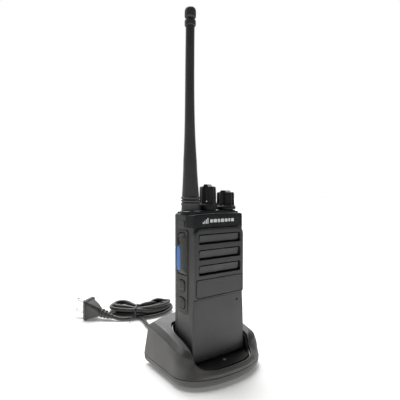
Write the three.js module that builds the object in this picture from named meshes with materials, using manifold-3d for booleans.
// A handheld two way radio seated in its desk charger, with the charger's mains lead tied in a hank.
// Units are millimetres, +Z is up and the radio's front faces -Y.
// The origin is on the table, under the middle of the charger.
import * as THREE from 'three';
import { mergeVertices } from 'three/addons/utils/BufferGeometryUtils.js';
import { ParametricGeometry } from 'three/addons/geometries/ParametricGeometry.js';
import Module from 'manifold-3d';

const wasm = await Module();
wasm.setup();

// ---------------------------------------------------------------- driving dimensions

const GAP = 0.3; // clearance between fixed pieces that meet
const FRONT_TO_ORIGIN = 16.1; // the radio's front face stands this far in front of the origin
const SEAT_HEIGHT = 13; // the radio's underside above the table

const BODY = { half: 26.5, depth: 30, height: 116.3, seam: 21.5, wall: 1.8, backRadius: 7 };
const PLATE = { half: 25.4, bottom: 50, top: 105.5, proud: 1.6, radius: 6 }; // raised speaker plate
const SLOTS = { half: 21.3, height: 8, pitch: 12.1, lowest: 69, count: 3, radius: 1.4 };
const LABEL = { half: 24.2, bottom: 51.2, top: 66.2, depth: 0.4, radius: 2.5 };
const MIC = { x: 18.9, z: 44.4, hole: 0.6 };
const TOP = { half: 24, front: 2.6, back: 27.4, bottom: 116.6, top: 118.7, radius: 3 };
const CONTROL_Y = 12.6; // the plane of the antenna and both knobs
const ANTENNA = { x: -19.6, base: 119.2, tipStart: 265, top: 280, bore: 5.4 };
const CHANNEL = { x: -2.4, base: 119.3, flangeTop: 124.5, top: 139, crest: 140.3, flange: 8, radius: 7.1 };
const VOLUME = { x: 16.5, base: 119.3, flangeTop: 122.6, top: 134, crest: 135.4, flange: 8.9, radius: 7.9 };
const SHAFT_RADIUS = 2.9;
const SIDE = { front: 6.2, back: 21, bottom: 37.6, top: 104, proud: 0.5, inlay: 0.5 }; // rubber side panel
const PTT = { front: 7.2, back: 20.2, bottom: 68.5, top: 102, proud: 1.7 };
const PTT_BAR = { front: 14.4, back: 19.6, bottom: 71.5, top: 91, proud: 2.1 };
const SIDE_KEYS = [
  { name: 'side_key_upper', bottom: 55.5, top: 64 },
  { name: 'side_key_lower', bottom: 41.7, top: 50.2 },
];
const KEY = { front: 9.4, back: 18, proud: 1.3 };
const JACK = { front: 7, back: 16, bottom: 70, top: 92 };
const BATTERY = { top: 88.2, bottom: 0.3, wall: 1.6 };
const SPEAKER = { z: 85, radius: 18 };
const CLIP = { pinY: 34.4, pinZ: 106, half: 8.5, bottom: 38, top: 115.5 };

const DOCK = { half: 41.9, front: -19.6, side: 6, back: 51.6, corner: 2.4, exponent: 2.25, seam: 8 };
const POCKET = { half: 29, middle: 12, depth: 26, floor: 12.6 }; // depth runs from its middle to its edge
const DOCK_WALL = 2.2;
const OUTLINE_STEPS = 56;
const PIN = { x: 8, y: 25.9, radius: 1.2, top: 12.65, bottom: 6.2 };
const DOCK_LIGHT = { x: 1, y: -5.6, radius: 1.4 };
const DOCK_CORD = { x: -4, z: 11, start: 46.2, end: 75 }; // where the lead leaves the charger
const FOOT = { half: 26, depth: 6, front: -8, back: 42, height: 0.7 };

// ---------------------------------------------------------------- materials

const material = (color, roughness, metalness = 0) =>
  new THREE.MeshStandardMaterial({ color, roughness, metalness });

const SHELL = material(0x2b2c2c, 0.55);
const BATTERY_SHELL = material(0x323231, 0.6);
const GLOSS = material(0x17191b, 0.3);
const KNOB = material(0x141517, 0.4);
const RUBBER = material(0x33332f, 0.75);
const BLUE = material(0x3f86dc, 0.45);
const WHIP = material(0x28282a, 0.6);
const DOCK_SHELL = material(0x4c4b49, 0.6);
const DOCK_BLACK = material(0x0f1012, 0.35);
const STEEL = material(0xb6b8ba, 0.35, 1);
const BRASS = material(0xc8a35a, 0.35, 1);
const ALLOY = material(0x8c8f92, 0.5, 1);
const BOARD = material(0x1f5a36, 0.5);
const FELT = material(0x1a1a1a, 0.95);
const CELL = material(0x35589a, 0.5);
const CORE = material(0x9a7a38, 0.6);
const CLEAR = material(0xc9dccb, 0.15);
const CABLE = material(0x2d2d2b, 0.6);
const TIE = material(0x111111, 0.5);

// ---------------------------------------------------------------- solids and geometry helpers

// A closed geometry as a manifold solid, turned the right way out.
function solid(geometry) {
  const bare = geometry.clone();
  bare.deleteAttribute('normal');
  bare.deleteAttribute('uv');
  const merged = mergeVertices(bare, 1e-4);
  const position = merged.getAttribute('position').array;
  const index = merged.getIndex().array;
  const kept = [];
  let volume = 0;
  const corner = (i) => new THREE.Vector3().fromArray(position, 3 * i);
  for (let i = 0; i < index.length; i += 3) {
    const [a, b, c] = [index[i], index[i + 1], index[i + 2]];
    if (a === b || b === c || c === a) continue;
    kept.push(a, b, c);
    volume += corner(a).dot(corner(b).cross(corner(c)));
  }
  if (volume < 0) kept.reverse();
  const mesh = new wasm.Mesh({
    numProp: 3,
    vertProperties: new Float32Array(position),
    triVerts: new Uint32Array(kept),
  });
  return new wasm.Manifold(mesh);
}

function geometryOf(manifold) {
  const mesh = manifold.getMesh();
  const geometry = new THREE.BufferGeometry();
  geometry.setAttribute('position', new THREE.BufferAttribute(mesh.vertProperties, 3));
  geometry.setIndex(new THREE.BufferAttribute(mesh.triVerts, 1));
  geometry.computeVertexNormals();
  return geometry;
}

const join = (first, ...rest) => rest.reduce((sum, piece) => sum.add(piece), first);
const cut = (first, ...rest) => rest.reduce((left, piece) => left.subtract(piece), first);

function box(x0, x1, y0, y1, z0, z1) {
  const geometry = new THREE.BoxGeometry(x1 - x0, y1 - y0, z1 - z0);
  return solid(geometry.translate((x0 + x1) / 2, (y0 + y1) / 2, (z0 + z1) / 2));
}

// A rectangle whose corners are arcs; the radii go round from the low corner: low-low, high-low,
// high-high, low-high.
function roundedRect(x0, x1, y0, y1, radii) {
  const [r0, r1, r2, r3] = Array.isArray(radii) ? radii : [radii, radii, radii, radii];
  const shape = new THREE.Shape();
  shape.moveTo(x0 + r0, y0);
  shape.lineTo(x1 - r1, y0);
  if (r1 > 0) shape.absarc(x1 - r1, y0 + r1, r1, -Math.PI / 2, 0);
  shape.lineTo(x1, y1 - r2);
  if (r2 > 0) shape.absarc(x1 - r2, y1 - r2, r2, 0, Math.PI / 2);
  shape.lineTo(x0 + r3, y1);
  if (r3 > 0) shape.absarc(x0 + r3, y1 - r3, r3, Math.PI / 2, Math.PI);
  shape.lineTo(x0, y0 + r0);
  if (r0 > 0) shape.absarc(x0 + r0, y0 + r0, r0, Math.PI, 1.5 * Math.PI);
  return shape;
}

function polygon(points) {
  return new THREE.Shape(points.map(([x, y]) => new THREE.Vector2(x, y)));
}

const extrude = (shape, depth, curveSegments) =>
  new THREE.ExtrudeGeometry(shape, { depth, bevelEnabled: false, curveSegments });

// A shape drawn in X and Y, standing from z0 to z1.
function prismZ(shape, z0, z1, curveSegments = 4) {
  return solid(extrude(shape, z1 - z0, curveSegments).translate(0, 0, z0));
}

// A shape drawn in X and Z, running from y0 back to y1.
function prismY(shape, y0, y1, curveSegments = 4) {
  const geometry = extrude(shape, y1 - y0, curveSegments);
  return solid(geometry.rotateX(Math.PI / 2).translate(0, y1, 0));
}

// A shape drawn in Y and Z, running from x0 to x1.
function prismX(shape, x0, x1, curveSegments = 3) {
  const axes = new THREE.Matrix4().makeBasis(
    new THREE.Vector3(0, 1, 0),
    new THREE.Vector3(0, 0, 1),
    new THREE.Vector3(1, 0, 0),
  );
  return solid(extrude(shape, x1 - x0, curveSegments).applyMatrix4(axes).translate(x0, 0, 0));
}

// A turned piece about a vertical axis at (x, y); the profile is [radius, height] pairs.
function turned(profile, x = 0, y = 0, segments = 20) {
  const points = profile.map(([radius, height]) => new THREE.Vector2(radius, height));
  return solid(new THREE.LatheGeometry(points, segments).rotateX(Math.PI / 2).translate(x, y, 0));
}

// A turned piece about an axis that runs back along Y from (x, z).
function turnedY(profile, x, z, segments = 20) {
  const points = profile.map(([radius, depth]) => new THREE.Vector2(radius, depth));
  return solid(new THREE.LatheGeometry(points, segments).translate(x, 0, 0).translate(0, 0, z));
}

const rod = (radius, x, y, z0, z1, segments = 16) =>
  turned([[0, z0], [radius, z0], [radius, z1], [0, z1]], x, y, segments);

const rodY = (radius, x, z, y0, y1, segments = 16) =>
  turnedY([[0, y0], [radius, y0], [radius, y1], [0, y1]], x, z, segments);

function rodX(radius, y, z, x0, x1, segments = 12) {
  const geometry = new THREE.CylinderGeometry(radius, radius, x1 - x0, segments).rotateZ(Math.PI / 2);
  return solid(geometry.translate((x0 + x1) / 2, y, z));
}

function node(parent, name, shape, finish) {
  const mesh = new THREE.Mesh(geometryOf(shape), finish);
  mesh.name = name;
  parent.add(mesh);
}

// ---------------------------------------------------------------- the group tree

const object = new THREE.Group();
const bench = new THREE.Group(); // its Y starts at the plane of the radio's front face
bench.position.y = -FRONT_TO_ORIGIN;
const radio = new THREE.Group(); // its Z starts at the radio's underside
radio.position.z = SEAT_HEIGHT;
object.add(bench);
bench.add(radio);

// ---------------------------------------------------------------- radio: casings

// The sides lean in towards the front: hardly at all at the foot, fully from the side keys up.
const SIDE_LEAN = [
  [-20, 12], [0.2, 14], [0.35, 24], [0.8, 35], [1.4, 48], [1.65, 108], [1.65, 130], [-20, 130],
];

function cornerPlane(side) {
  const up = new THREE.Vector3(0, 0, 1);
  const inward = new THREE.Vector3(-side * 0.985, 0.17, 0).normalize(); // from the corner into the body
  const axes = new THREE.Matrix4().makeBasis(inward, up, new THREE.Vector3().crossVectors(inward, up));
  const geometry = extrude(polygon(SIDE_LEAN), 60, 1).translate(0, 0, -30).applyMatrix4(axes);
  return solid(geometry.translate(side * BODY.half, 0, 0));
}

const slotFloor = (i) => SLOTS.lowest + i * SLOTS.pitch;

function slotOutline(i, grow) {
  const half = SLOTS.half + grow;
  const z = slotFloor(i);
  return roundedRect(-half, half, z - grow, z + SLOTS.height + grow, SLOTS.radius);
}

function frontHousing() {
  const { half, seam, height, wall } = BODY;
  const outer = prismZ(roundedRect(-half, half, 0, seam - 0.1, [2, 2, 0, 0]), 0, height);
  const plate = prismY(
    roundedRect(-PLATE.half, PLATE.half, PLATE.bottom, PLATE.top, [3, 3, PLATE.radius, PLATE.radius]),
    -PLATE.proud,
    1,
  );
  const hollow = prismZ(
    roundedRect(-half + wall, half - wall, wall, seam + 5, [3, 3, 0, 0]),
    wall,
    height - wall,
  );
  const cuts = [cornerPlane(-1), cornerPlane(1), hollow];
  for (let i = 0; i < SLOTS.count; i++) cuts.push(prismY(slotOutline(i, 0), -4, 4));
  cuts.push(
    prismY(
      roundedRect(-LABEL.half, LABEL.half, LABEL.bottom, LABEL.top, LABEL.radius),
      -PLATE.proud - 1,
      -PLATE.proud + LABEL.depth,
    ),
  );
  cuts.push(rodY(MIC.hole, MIC.x, MIC.z, -2, 4, 10));
  for (const [x, radius] of [[ANTENNA.x, 4.6], [CHANNEL.x, 4], [VOLUME.x, 4]]) {
    cuts.push(rod(radius, x, CONTROL_Y, height - 5, height + 3));
  }
  const { front, back, bottom, top, inlay } = SIDE;
  cuts.push(prismX(roundedRect(front, back, bottom, top, 2), -half - 3, -half + inlay));
  cuts.push(box(-half - 3, -half + 3, PTT.front - GAP, PTT.back + GAP, PTT.bottom - GAP, PTT.top + GAP));
  for (const key of SIDE_KEYS) {
    cuts.push(box(-half - 3, -half + 3, KEY.front - GAP, KEY.back + GAP, key.bottom - GAP, key.top + GAP));
  }
  cuts.push(box(half - 3, half + 3, JACK.front, JACK.back, JACK.bottom, JACK.top));
  cuts.push(box(-9.4, 9.4, 8, 20.4, -2, 3)); // the window of the battery latch
  return cut(join(outer, plate), ...cuts);
}

function topPlate() {
  const plate = prismZ(
    roundedRect(-TOP.half, TOP.half - 0.5, TOP.front, TOP.back, TOP.radius),
    TOP.bottom,
    TOP.top,
  );
  const light = rod(1.5, 7, 20.5, 110, 122, 12);
  const holes = [[ANTENNA.x + 0.1, 4], [CHANNEL.x, 4], [VOLUME.x, 4]];
  return cut(plate, light, ...holes.map(([x, radius]) => rod(radius, x, CONTROL_Y, 110, 122)));
}

// The three slats stand on one backing sheet, so the whole grille drops in from behind.
function grilleInsert() {
  const backing = box(-23, 23, 2.1, 3.1, 66, 104);
  const slats = [];
  for (let i = 0; i < SLOTS.count; i++) {
    const low = slotFloor(i) + 1;
    const high = slotFloor(i) + SLOTS.height - 0.7;
    const side = polygon([[-0.9, high], [0.3, low], [2.6, low], [2.6, high]]);
    slats.push(prismX(side, -SLOTS.half + 0.8, SLOTS.half - 1));
  }
  const sounding = [];
  for (let i = 0; i < SLOTS.count; i++) {
    const z = slotFloor(i) + 0.1;
    sounding.push(box(-SLOTS.half + 2, SLOTS.half - 2, 1.9, 4, z, z + 0.8));
  }
  return cut(join(backing, ...slats), ...sounding);
}

function rearCover() {
  const { half, depth, height, seam, backRadius } = BODY;
  const bottom = BATTERY.top + GAP;
  const outer = prismZ(
    roundedRect(-half, half, seam + 0.2, depth, [0, 0, backRadius, backRadius]),
    bottom,
    height,
  );
  const hollow = box(-half + 3, half - 3, seam - 1, depth - 2.4, bottom + 2, height - 2);
  const screws = [-1, 1].map((side) => rodY(1.5, side * 5, 99.5, depth - 4, depth + 2, 10));
  return cut(outer, hollow, ...screws);
}

function batteryCase() {
  const { half, depth, seam, backRadius } = BODY;
  const { top, bottom, wall } = BATTERY;
  const outer = prismZ(
    roundedRect(-half, half, seam + 0.3, depth, [0, 0, backRadius, backRadius]),
    bottom,
    top,
  );
  const hollow = box(-half + 3, half - 3, seam - 1, depth - wall, bottom + wall, top - wall);
  const pads = [-1, 1].map((side) => box(side * PIN.x - 2.8, side * PIN.x + 2.8, 23.6, 28.2, -1, 1.6));
  return cut(outer, hollow, ...pads);
}

function buildCasings() {
  node(radio, 'front_housing', frontHousing(), SHELL);
  node(radio, 'top_plate', topPlate(), GLOSS);
  node(radio, 'grille_insert', grilleInsert(), SHELL);
  node(radio, 'rear_cover', rearCover(), BATTERY_SHELL);
  node(radio, 'battery_case', batteryCase(), BATTERY_SHELL);
  const lidHalf = BODY.half - 3 - GAP;
  node(radio, 'battery_lid', box(-lidHalf, lidHalf, 21.9, 23.1, 2.3, 86.2), BATTERY_SHELL);
  const latch = join(box(-9, 9, 11.4, 20, 0.2, 1.5), box(-9, 9, 17, 20, 1.4, 2.6));
  node(radio, 'battery_latch', latch, SHELL);
}

// ---------------------------------------------------------------- radio: controls

// A knob with a collar at its foot, grooves round its skirt and a hole for its shaft.
function knob(spec, flutes, fluteRadius, crestWidth) {
  const { x, base, flangeTop, top, crest, flange, radius } = spec;
  const body = turned(
    [
      [0, base],
      [flange, base],
      [flange, flangeTop - 0.6],
      [radius + 0.3, flangeTop],
      [radius - 0.3, top - 0.8],
      [radius - 1, top],
      [0, top],
    ],
    0,
    0,
    24,
  );
  const ridge = box(-crestWidth / 2, crestWidth / 2, -radius + 1.2, radius - 1.2, top - 1, crest);
  const cuts = [rod(SHAFT_RADIUS + GAP, 0, 0, base - 1, top - 4, 16)];
  for (let i = 0; i < flutes; i++) {
    const angle = (2 * Math.PI * (i + 0.5)) / flutes;
    const reach = radius + fluteRadius * 0.45;
    cuts.push(
      rod(fluteRadius, reach * Math.cos(angle), reach * Math.sin(angle), flangeTop + 0.4, crest + 1, 8),
    );
  }
  const shaped = cut(join(body, ridge), ...cuts);
  return solid(geometryOf(shaped).translate(x, CONTROL_Y, 0));
}

function antennaWhip() {
  const { x, base, tipStart, bore } = ANTENNA;
  const ribs = [];
  for (let i = 0; i < 3; i++) {
    const z = 125.3 + 1.9 * i;
    ribs.push([7.5, z], [8, z + 0.5], [7.5, z + 1.3]);
  }
  const profile = [
    [bore, base],
    [8.15, base],
    [7.9, 124.4],
    ...ribs,
    [7.3, 132],
    [6.3, 146],
    [5.45, 159],
    [4.6, 174],
    [4.05, 191],
    [3.75, 212],
    [3.6, 239],
    [3.55, tipStart],
    [0, tipStart],
    [0, 128],
    [bore, 128],
    [bore, base],
  ];
  return turned(profile, x, CONTROL_Y, 16);
}

function antennaTip() {
  const { x, tipStart, top } = ANTENNA;
  const start = tipStart + GAP;
  const profile = [
    [0, start],
    [4.1, start],
    [4.5, start + 1],
    [4.5, start + 4],
    [3.9, start + 4.8],
    [3.9, start + 6],
    [4.5, start + 6.8],
    [4.5, top - 2],
    [3.4, top - 0.4],
    [0, top],
  ];
  return turned(profile, x, CONTROL_Y, 16);
}

function antennaFerrule() {
  const { x, base, bore } = ANTENNA;
  const outer = bore - GAP;
  const profile = [[3.6, base], [outer, base], [outer, 127.6], [3.6, 127.6], [3.6, base]];
  return turned(profile, x, CONTROL_Y, 16);
}

function buildControls() {
  node(radio, 'channel_knob', knob(CHANNEL, 14, 0.9, 2.4), KNOB);
  node(radio, 'volume_knob', knob(VOLUME, 10, 1.5, 3), KNOB);
  for (const [name, spec] of [['channel', CHANNEL], ['volume', VOLUME]]) {
    const pot = box(spec.x - 5.6, spec.x + 5.6, CONTROL_Y - 4.6, CONTROL_Y + 4.6, 105, 112.6);
    const well = rod(SHAFT_RADIUS + GAP, spec.x, CONTROL_Y, 108, 114, 16);
    node(radio, `${name}_switch`, cut(pot, well), ALLOY);
    node(radio, `${name}_shaft`, rod(SHAFT_RADIUS, spec.x, CONTROL_Y, 108.4, spec.top - 4.4, 16), ALLOY);
  }
  const { x } = ANTENNA;
  const socket = turned(
    [[0, 104], [4.2, 104], [4.2, 115.8], [3.2, 115.8], [3.2, 126.8], [1, 126.8], [1, 122], [0, 122]],
    x,
    CONTROL_Y,
    16,
  );
  node(radio, 'antenna_socket', socket, BRASS);
  node(radio, 'antenna_ferrule', antennaFerrule(), BRASS);
  node(radio, 'antenna_whip', antennaWhip(), WHIP);
  node(radio, 'antenna_tip', antennaTip(), WHIP);
  node(radio, 'status_light', rod(1.2, 7, 20.5, 116.9, TOP.top + 0.2, 12), CLEAR);
}

// ---------------------------------------------------------------- radio: left side

function sidePanel() {
  const { front, back, bottom, top, proud, inlay } = SIDE;
  const outer = -BODY.half - proud;
  const inner = -BODY.half + inlay - GAP;
  const skin = prismX(roundedRect(front + GAP, back - GAP, bottom + GAP, top - GAP, 2), outer, inner);
  const cuts = [box(-30, -20, PTT.front - GAP, PTT.back + GAP, PTT.bottom - GAP, PTT.top + GAP)];
  for (const key of SIDE_KEYS) {
    cuts.push(box(-30, -20, KEY.front - GAP, KEY.back + GAP, key.bottom - GAP, key.top + GAP));
  }
  return cut(skin, ...cuts);
}

function pttButton() {
  const { front, back, bottom, top, proud } = PTT;
  const bar = PTT_BAR;
  const face = -BODY.half - proud;
  const outline = roundedRect(front, back, bottom, top, [1.5, 1.5, 5, 5]);
  const body = prismX(outline, face, -BODY.half + 2.2);
  const dimple = turned([[0, 0], [3, 0], [3, 6], [0, 6]], 0, 0, 16);
  const hollow = solid(geometryOf(dimple).rotateY(-Math.PI / 2).translate(face + 1, 15.8, 95.4));
  const seat = box(-30, face + 1.3, bar.front - GAP, bar.back + GAP, bar.bottom - GAP, bar.top + GAP);
  return cut(body, hollow, seat);
}

function buildSide() {
  node(radio, 'side_panel', sidePanel(), RUBBER);
  node(radio, 'ptt_button', pttButton(), RUBBER);
  const bar = PTT_BAR;
  const barBack = -BODY.half - PTT.proud + 1.3 - GAP;
  const barShape = roundedRect(bar.front, bar.back, bar.bottom, bar.top, 2.2);
  node(radio, 'ptt_insert', prismX(barShape, -BODY.half - bar.proud, barBack), BLUE);
  for (const key of SIDE_KEYS) {
    const cap = roundedRect(KEY.front, KEY.back, key.bottom, key.top, [2.5, 1, 1, 2.5]);
    node(radio, key.name, prismX(cap, -BODY.half - KEY.proud, -BODY.half + 2.4), RUBBER);
  }
  const switches = [46, 59.7, 78].map((z) => box(-22.4, -20, 10.6, 13.2, z - 2, z + 2));
  node(radio, 'side_board', join(box(-20.6, -19.6, 8, 13.8, 41, 82), ...switches), BOARD);
}

// ---------------------------------------------------------------- radio: right side

function buildAccessoryPort() {
  const { front, back, bottom, top } = JACK;
  const { half } = BODY;
  const block = box(half - 6, half - 2.2, front + GAP, back - GAP, bottom + GAP, top - GAP);
  const bores = [[76, 1.8], [86, 1.3]].map(([z, radius]) => rodX(radius, 11.5, z, half - 5, half, 12));
  node(radio, 'accessory_jack', cut(block, ...bores), ALLOY);
  const cap = prismX(
    roundedRect(front + GAP, back - GAP, bottom + GAP, top - GAP, 1.5),
    half - 1.6,
    half + 1.2,
  );
  node(radio, 'accessory_cover', cap, RUBBER);
}

// ---------------------------------------------------------------- radio: insides

function speakerCone() {
  const inside = [[0, 5.2], [4, 5.6], [4.4, 8], [16.6, 4.8]];
  const profile = [...inside, [16.6, 5.4], [4.6, 8.9], [3.8, 6.3], [0, 5.8]];
  return turnedY([...profile].reverse(), 0, SPEAKER.z, 20);
}

function buildInsides() {
  const { z, radius } = SPEAKER;
  node(radio, 'dust_felt', box(-21, 21, 3.4, 3.9, z - 17.5, z + 17.5), FELT);
  const frame = [
    [17.2, 4.3],
    [17.2, 5.6],
    [10.2, 9.3],
    [10.2, 10.3],
    [radius, 6.6],
    [radius, 4.3],
    [17.2, 4.3],
  ];
  node(radio, 'speaker_frame', turnedY(frame, 0, z, 20), ALLOY);
  node(radio, 'speaker_cone', speakerCone(), FELT);
  node(radio, 'speaker_magnet', rodY(9.6, 0, z, 9.4, 13.4), ALLOY);
  node(radio, 'microphone', rodY(3, MIC.x, MIC.z, 2.2, 5, 12), ALLOY);
  node(radio, 'main_board', box(-19, 19, 14.2, 15.6, 6, 102), BOARD);
  const shield = cut(box(-17, 17, 10.5, 13.8, 12, 46), box(-16.4, 16.4, 11.1, 14.5, 12.6, 45.4));
  node(radio, 'rf_shield', shield, STEEL);
  const tray = box(-22.6, 22.6, 18, 20.8, 4, 112);
  const relief = box(-20.6, 20.6, 17, 19.4, 8, 100);
  node(radio, 'chassis', cut(tray, relief), ALLOY);
  const seam = prismX(polygon([[22, 6], [24, 6], [24, 86], [22, 86]]), -0.4, 0.4);
  node(radio, 'battery_cells', cut(box(-22.6, 22.6, 23.5, 28, 10, 82), seam), CELL);
  for (const [name, side] of [['left', -1], ['right', 1]]) {
    const padX = side * PIN.x;
    node(radio, `charge_pad_${name}`, box(padX - 2.4, padX + 2.4, 23.9, 27.9, 0.15, 1.3), BRASS);
  }
}

// ---------------------------------------------------------------- radio: belt clip

function clipBracket() {
  const { pinY, pinZ } = CLIP;
  const plate = box(-10.2, 10.2, BODY.depth + GAP, 32, 95, 111);
  const ears = [-1, 1].map((side) => {
    const near = side < 0 ? -10.2 : 8.2;
    return prismX(roundedRect(31.5, 37, 102, 110, [0, 2.5, 2.5, 0]), near, near + 2);
  });
  const bore = rodX(1.4, pinY, pinZ, -12, 12);
  const screws = [-1, 1].map((side) => rodY(1.6, side * 5, 99.5, 29, 34, 10));
  return cut(join(plate, ...ears), bore, ...screws);
}

function beltClip() {
  const { pinY, pinZ, half, bottom, top } = CLIP;
  const side = new THREE.Shape();
  side.moveTo(pinY - 1.9, pinZ);
  side.lineTo(pinY + 0.6, pinZ - 7);
  side.lineTo(36, 70);
  side.lineTo(34, bottom + 6);
  side.lineTo(35, bottom);
  side.lineTo(36.8, bottom);
  side.lineTo(36.2, bottom + 6);
  side.lineTo(38.2, 70);
  side.lineTo(37.6, pinZ - 4);
  side.lineTo(38, pinZ + 3);
  side.lineTo(37.4, top);
  side.lineTo(35.8, top);
  side.lineTo(pinY, pinZ + 2.2);
  const strap = prismX(side, -half + 0.8, half - 0.8);
  const flat = polygon([[35.6, bottom], [37, bottom], [38.2, 70], [37.4, 98], [36.4, 98], [36.4, 70]]);
  const paddle = prismX(flat, -half - 1, half + 1);
  return cut(join(strap, paddle), rodX(1.4, pinY, pinZ, -12, 12));
}

function buildClip() {
  node(radio, 'clip_bracket', clipBracket(), STEEL);
  node(radio, 'clip_pin', rodX(1, CLIP.pinY, CLIP.pinZ, -10.6, 10.6), STEEL);
  node(radio, 'belt_clip', beltClip(), SHELL);
  for (const [name, side] of [['left', -1], ['right', 1]]) {
    const screw = join(
      rodY(1.2, side * 5, 99.5, 28.2, 32.6, 10),
      rodY(2.3, side * 5, 99.5, 32.3, 33.3, 12),
    );
    node(radio, `clip_screw_${name}`, screw, STEEL);
  }
}

// ---------------------------------------------------------------- charger

// The outline is a superellipse across the front, straight sides and small corners at the back.
// t runs from 0 at the middle of the front, round by +X, to 1; inset moves it inwards.
function outlinePoint(spec, t, inset) {
  const mirrored = t > 0.5;
  const s = 2 * (mirrored ? 1 - t : t);
  const half = spec.half - inset;
  const reach = spec.side - spec.front - inset;
  const back = spec.back - inset;
  const corner = Math.max(spec.corner - inset, 0.6);
  const [arcEnd, sideEnd, cornerEnd] = [0.5, 0.76, 0.86];
  let x = half;
  let y = spec.side;
  if (s < arcEnd) {
    const angle = (Math.PI / 2) * (s / arcEnd);
    x = half * Math.sin(angle) ** (2 / spec.exponent);
    y = spec.side - reach * Math.cos(angle) ** (2 / spec.exponent);
  } else if (s < sideEnd) {
    y = spec.side + ((back - corner - spec.side) * (s - arcEnd)) / (sideEnd - arcEnd);
  } else if (s < cornerEnd) {
    const angle = ((Math.PI / 2) * (s - sideEnd)) / (cornerEnd - sideEnd);
    x = half - corner + corner * Math.cos(angle);
    y = back - corner + corner * Math.sin(angle);
  } else {
    x = (half - corner) * (1 - (s - cornerEnd) / (1 - cornerEnd));
    y = back;
  }
  return [mirrored ? -x : x, y];
}

// Straight-line interpolation through [position, value] pairs.
function along(table, at) {
  let i = 1;
  while (i < table.length - 1 && table[i][0] < at) i++;
  const [[a, low], [b, high]] = [table[i - 1], table[i]];
  const share = Math.min(1, Math.max(0, (at - a) / (b - a)));
  return low + (high - low) * share;
}

// Edges of the charger's cover as [share, x, y, z], by the share of the way from the middle of the front
// to the middle of the back: the top of the outer wall, the top of the bevel above it, and the edge of
// the pocket.
const RIM = {
  wall: [
    [0, 0, -18.3, 12.6], [0.1, 14.8, -17.2, 12.7], [0.2, 24, -13.6, 13.3], [0.25, 27, -10.2, 14.2],
    [0.29, 28.6, -7.2, 16.4], [0.32, 29.5, -5.4, 19.3], [0.35, 31.4, -4.9, 21.2], [0.385, 35, -4, 23],
    [0.42, 37.6, -1.5, 24.4], [0.455, 38.7, 2, 25.2], [0.49, 39, 6.6, 26.2], [0.58, 39.2, 19, 29.2],
    [0.68, 39.3, 34, 31.8], [0.76, 39.2, 48, 32.9], [0.81, 38.7, 49, 33.1], [0.86, 37.2, 49.2, 33.5],
    [0.9, 27.5, 49.3, 36], [1, 0, 49.4, 38.6],
  ],
  bevel: [
    [0, 0, -17.9, 12.95], [0.1, 14.5, -16.8, 13.05], [0.2, 23.6, -13.3, 13.65],
    [0.25, 26.5, -9.9, 14.6], [0.29, 27.9, -6.9, 16.9], [0.32, 28.5, -4.8, 20.2],
    [0.35, 29.1, -3.1, 23.9], [0.385, 30.4, -1.5, 26], [0.42, 32.9, 0.4, 27], [0.455, 34.5, 3.4, 28.3],
    [0.49, 35, 8.2, 29.6], [0.58, 35.1, 20.5, 33], [0.68, 35.1, 34, 34.9], [0.76, 35.1, 45.4, 35.5],
    [0.81, 34.6, 46.3, 35.7], [0.86, 33.4, 46.5, 36.2], [0.9, 24.5, 46.6, 38.6], [1, 0, 46.7, 41],
  ],
  edge: [
    [0, 0, -16.6, 12.8], [0.1, 14.2, -15.7, 12.9], [0.2, 23.2, -12.5, 13.5], [0.25, 26, -9.3, 14.5],
    [0.29, 27.5, -6.8, 16.8], [0.32, 28.2, -4.8, 19.8], [0.35, 28.6, -2.6, 23.2],
    [0.385, 28.9, -0.4, 25.9], [0.42, 29, 3.4, 27.6], [0.455, 29, 7.6, 29], [0.49, 29, 11.6, 30.2],
    [0.58, 29, 18.4, 31.8], [0.68, 29, 24, 33.5], [0.72, 28.7, 26.6, 34.8], [0.76, 27.6, 29.6, 36.2],
    [0.81, 26, 31.8, 37.1], [0.86, 23.4, 32.8, 37.6], [1, 0, 33, 38],
  ],
};

function rimPoint(table, t) {
  const share = 2 * Math.min(t, 1 - t);
  const [x, y, z] = [1, 2, 3].map((column) => along(table.map((row) => [row[0], row[column]]), share));
  return [t > 0.5 ? -x : x, y, z];
}

// A rim point moved towards the pocket's middle, at another height.
function drawnIn([x, y], amount, height) {
  const { half, middle: centre, depth } = POCKET;
  return [x * (1 - amount / half), centre + (y - centre) * (1 - amount / depth), height];
}

// Sweeps rings of points round the outline; each ring is a function of t that gives [x, y, z].
function ringed(rings, closed) {
  const count = closed ? rings.length : rings.length - 1;
  const geometry = new ParametricGeometry(
    (u, v, target) => {
      const ring = rings[Math.round(v * count) % rings.length];
      target.set(...ring(u >= 1 ? 0 : u));
    },
    OUTLINE_STEPS,
    count,
  );
  return solid(geometry);
}

const onOutline = (spec, inset, height) => (t) => [...outlinePoint(spec, t, inset), height];
const middle = (height) => () => [0, 14, height];

const onRim = (table, inset, drop) => (t) => {
  const point = rimPoint(table, t);
  return drawnIn(point, inset, point[2] - drop);
};
const inPocket = (inset, height) => (t) => drawnIn(rimPoint(RIM.edge, t), inset, height);

function dockCover() {
  const bottom = DOCK.seam + 0.15;
  const shell = ringed(
    [
      onOutline(DOCK, 0, bottom),
      onRim(RIM.wall, 0, 0),
      onRim(RIM.bevel, 0, 0),
      onRim(RIM.edge, 0, 0),
      onRim(RIM.edge, 0, 2.4),
      onRim(RIM.wall, DOCK_WALL, DOCK_WALL),
      onOutline(DOCK, DOCK_WALL, bottom),
    ],
    true,
  );
  return cut(shell, rodY(3.4, DOCK_CORD.x, DOCK_CORD.z, 44, 56, 12));
}

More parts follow.
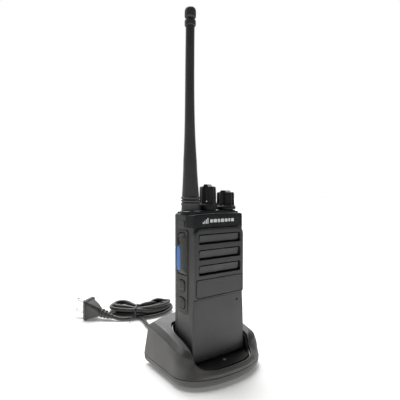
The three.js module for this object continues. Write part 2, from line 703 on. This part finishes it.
function dockWell() {
  const { floor } = POCKET;
  const cup = ringed(
    [
      middle(floor),
      inPocket(2.0, floor),
      onRim(RIM.edge, 1.8, 1.0),
      onRim(RIM.edge, 1.0, 1.0),
      inPocket(1.6, floor - 1.6),
      middle(floor - 1.6),
    ],
    false,
  );
  const holes = [-1, 1].map((side) => rod(PIN.radius + GAP, side * PIN.x, PIN.y, 5, 20, 12));
  return cut(cup, ...holes, rod(DOCK_LIGHT.radius + GAP, DOCK_LIGHT.x, DOCK_LIGHT.y, 5, 20, 12));
}

const footOutline = (y, grow) =>
  roundedRect(-FOOT.half - grow, FOOT.half + grow, y - grow, y + FOOT.depth + grow, 2);

function dockBase() {
  const top = DOCK.seam - 0.15;
  const tray = ringed(
    [
      middle(FOOT.height),
      onOutline(DOCK, 4.6, FOOT.height),
      onOutline(DOCK, 1.7, 2.2),
      onOutline(DOCK, 0.4, 5),
      onOutline(DOCK, 0.4, top),
      onOutline(DOCK, 2.3, top),
      onOutline(DOCK, 2.9, 3),
      middle(3),
    ],
    false,
  );
  const wells = [FOOT.front, FOOT.back].map((y) => prismZ(footOutline(y, GAP), -1, 1.5));
  return cut(tray, ...wells);
}

function buildDock() {
  node(bench, 'dock_cover', dockCover(), DOCK_SHELL);
  node(bench, 'dock_well', dockWell(), DOCK_BLACK);
  node(bench, 'dock_base', dockBase(), DOCK_SHELL);
  node(bench, 'dock_foot_front', prismZ(footOutline(FOOT.front, 0), 0, 1.2), RUBBER);
  node(bench, 'dock_foot_rear', prismZ(footOutline(FOOT.back, 0), 0, 1.2), RUBBER);
  node(bench, 'dock_board', box(-24, 24, -8, 30, 3.6, 5), BOARD);
  node(bench, 'dock_light', rod(DOCK_LIGHT.radius, DOCK_LIGHT.x, DOCK_LIGHT.y, 6.4, 13, 12), CLEAR);
  node(bench, 'transformer', box(-19, 13, 35, 46, 7.4, 23.4), CORE);
  for (const [name, side] of [['left', -1], ['right', 1]]) {
    const { x, y, radius, top, bottom } = PIN;
    node(bench, `charge_pin_${name}`, rod(radius, side * x, y, bottom, top, 12), BRASS);
  }
}

// ---------------------------------------------------------------- mains lead

const CORD_RADIUS = 2.2;
const LIE = CORD_RADIUS + 0.05; // the height of a cord's middle when it lies on the table
const PLUG = { x: -44, y: 190.6, z: 11.4, turn: -0.9, tilt: 0.218, end: 33, pinGap: 12.7 };

// From the strain relief down to the table and back to the hank.
const DOCK_LEAD = [
  [DOCK_CORD.x, DOCK_CORD.end + GAP, DOCK_CORD.z],
  [-3.9, 82, 10.2],
  [-3.6, 90, 6.6],
  [-3.3, 98, 3.2],
  [-2.9, 107, LIE],
  [-1.8, 120, LIE],
  [0.8, 133, LIE],
  [3.6, 143, LIE],
];

// From the plug's tail down to the table and on to the hank.
const PLUG_LEAD = [
  [-23.8, 165.1, 4.3],
  [-20.6, 161.2, 3.3],
  [-16.6, 157.6, 2.5],
  [-12, 154.6, LIE],
  [-7.4, 152, LIE],
];

// The hank seen from above: two open lobes with a tied waist between them.
const HANK_OUTLINE = [
  [-25, 178], [-17, 169], [-8, 161], [-4.6, 152.5], [0, 148], [9, 145.5], [24, 145], [39, 147],
  [51, 153.5], [54, 163], [49, 173], [36, 177], [22, 175], [11.5, 170], [9, 180], [5, 192], [-4, 196.5],
  [-15, 193], [-23, 187],
];
const HANK = { bottom: 0.9, top: 15.6, tieX: 3, tieY: 158.8, tieTurn: -0.62, tieHalf: 9.6 };

function leadTube(points, steps) {
  const section = new THREE.Shape().absarc(0, 0, CORD_RADIUS, 0, 2 * Math.PI);
  const extrudePath = new THREE.CatmullRomCurve3(points.map((p) => new THREE.Vector3(...p)));
  return solid(
    new THREE.ExtrudeGeometry(section, { extrudePath, steps, curveSegments: 5, bevelEnabled: false }),
  );
}

// The section of the pinched waist, across the hank; grow moves it outwards.
const waistSection = (grow) =>
  roundedRect(-HANK.tieHalf - grow, HANK.tieHalf + grow, HANK.bottom - grow, HANK.top + grow, 2);

function hankSolid() {
  const curve = new THREE.CatmullRomCurve3(
    HANK_OUTLINE.map(([x, y]) => new THREE.Vector3(x, y, 0)),
    true,
  );
  const points = curve.getPoints(44).slice(0, -1);
  const outline = new THREE.Shape(points.map(({ x, y }) => new THREE.Vector2(x, y)));
  const around = cut(box(-1.4, 1.4, -30, 30, -5, 30), prismX(waistSection(0), -2, 2));
  const groove = geometryOf(around).rotateZ(HANK.tieTurn).translate(HANK.tieX, HANK.tieY, 0);
  return cut(prismZ(outline, HANK.bottom - 0.6, HANK.top + 0.6), solid(groove));
}

const tieBand = () => cut(prismX(waistSection(0.8), -1, 1), prismX(waistSection(GAP), -2, 2));

// The plug drawn along +X from its face to its tail.
function plugBody() {
  const flange = prismX(roundedRect(-10, 10, -11, 11, 3), 0, 3.2);
  const taper = new THREE.CylinderGeometry(6, 11.5, 14, 4, 1);
  const neckAt = solid(taper.rotateY(Math.PI / 4).rotateZ(-Math.PI / 2).translate(9.9, 0, 0));
  const tail = [[0, 15]];
  for (let i = 0; i < 3; i++) {
    const x = 18 + 4.4 * i;
    const radius = 5 - 0.5 * i;
    tail.push([radius, x], [radius, x + 2.6], [radius - 1.4, x + 2.8], [radius - 1.4, x + 4.2]);
  }
  tail.push([3, 31.4], [3, PLUG.end], [0, PLUG.end]);
  const relief = turnedY(tail, 0, 0, 12);
  const reliefAt = solid(geometryOf(relief).rotateZ(-Math.PI / 2));
  const pins = [-1, 1].map((side) => {
    const z = (side * PLUG.pinGap) / 2;
    return box(-1, 2.6, -3.5, 3.5, z - 1.1, z + 1.1);
  });
  return cut(join(flange, neckAt, reliefAt), ...pins);
}

function buildLead() {
  const { x, z, start, end } = DOCK_CORD;
  const relief = turnedY(
    [
      [0, start],
      [4.6, start],
      [4.6, start + 1.2],
      [3.1, start + 1.2],
      [3.1, 52.2],
      [4.6, 52.2],
      [4.4, 56],
      [3.1, end],
      [0, end],
    ],
    x,
    z,
    12,
  );
  node(bench, 'strain_relief', relief, CABLE);
  node(bench, 'cord_lead_dock', leadTube(DOCK_LEAD, 30), CABLE);
  node(bench, 'cord_lead_plug', leadTube(PLUG_LEAD, 14), CABLE);
  node(bench, 'cord_hank', hankSolid(), CABLE);

  const waist = new THREE.Group();
  waist.position.set(HANK.tieX, HANK.tieY, 0);
  waist.rotation.z = HANK.tieTurn;
  bench.add(waist);
  node(waist, 'cord_tie', tieBand(), TIE);

  const plug = new THREE.Group();
  plug.position.set(PLUG.x, PLUG.y, PLUG.z);
  plug.rotation.set(0, PLUG.tilt, PLUG.turn, 'ZYX');
  bench.add(plug);
  node(plug, 'plug_body', plugBody(), CABLE);
  for (const [name, side] of [['upper', 1], ['lower', -1]]) {
    const at = (side * PLUG.pinGap) / 2;
    node(plug, `plug_prong_${name}`, box(-17, 2.3, -3.15, 3.15, at - 0.75, at + 0.75), STEEL);
  }
}

buildCasings();
buildControls();
buildSide();
buildAccessoryPort();
buildInsides();
buildClip();
buildDock();
buildLead();

export default object;
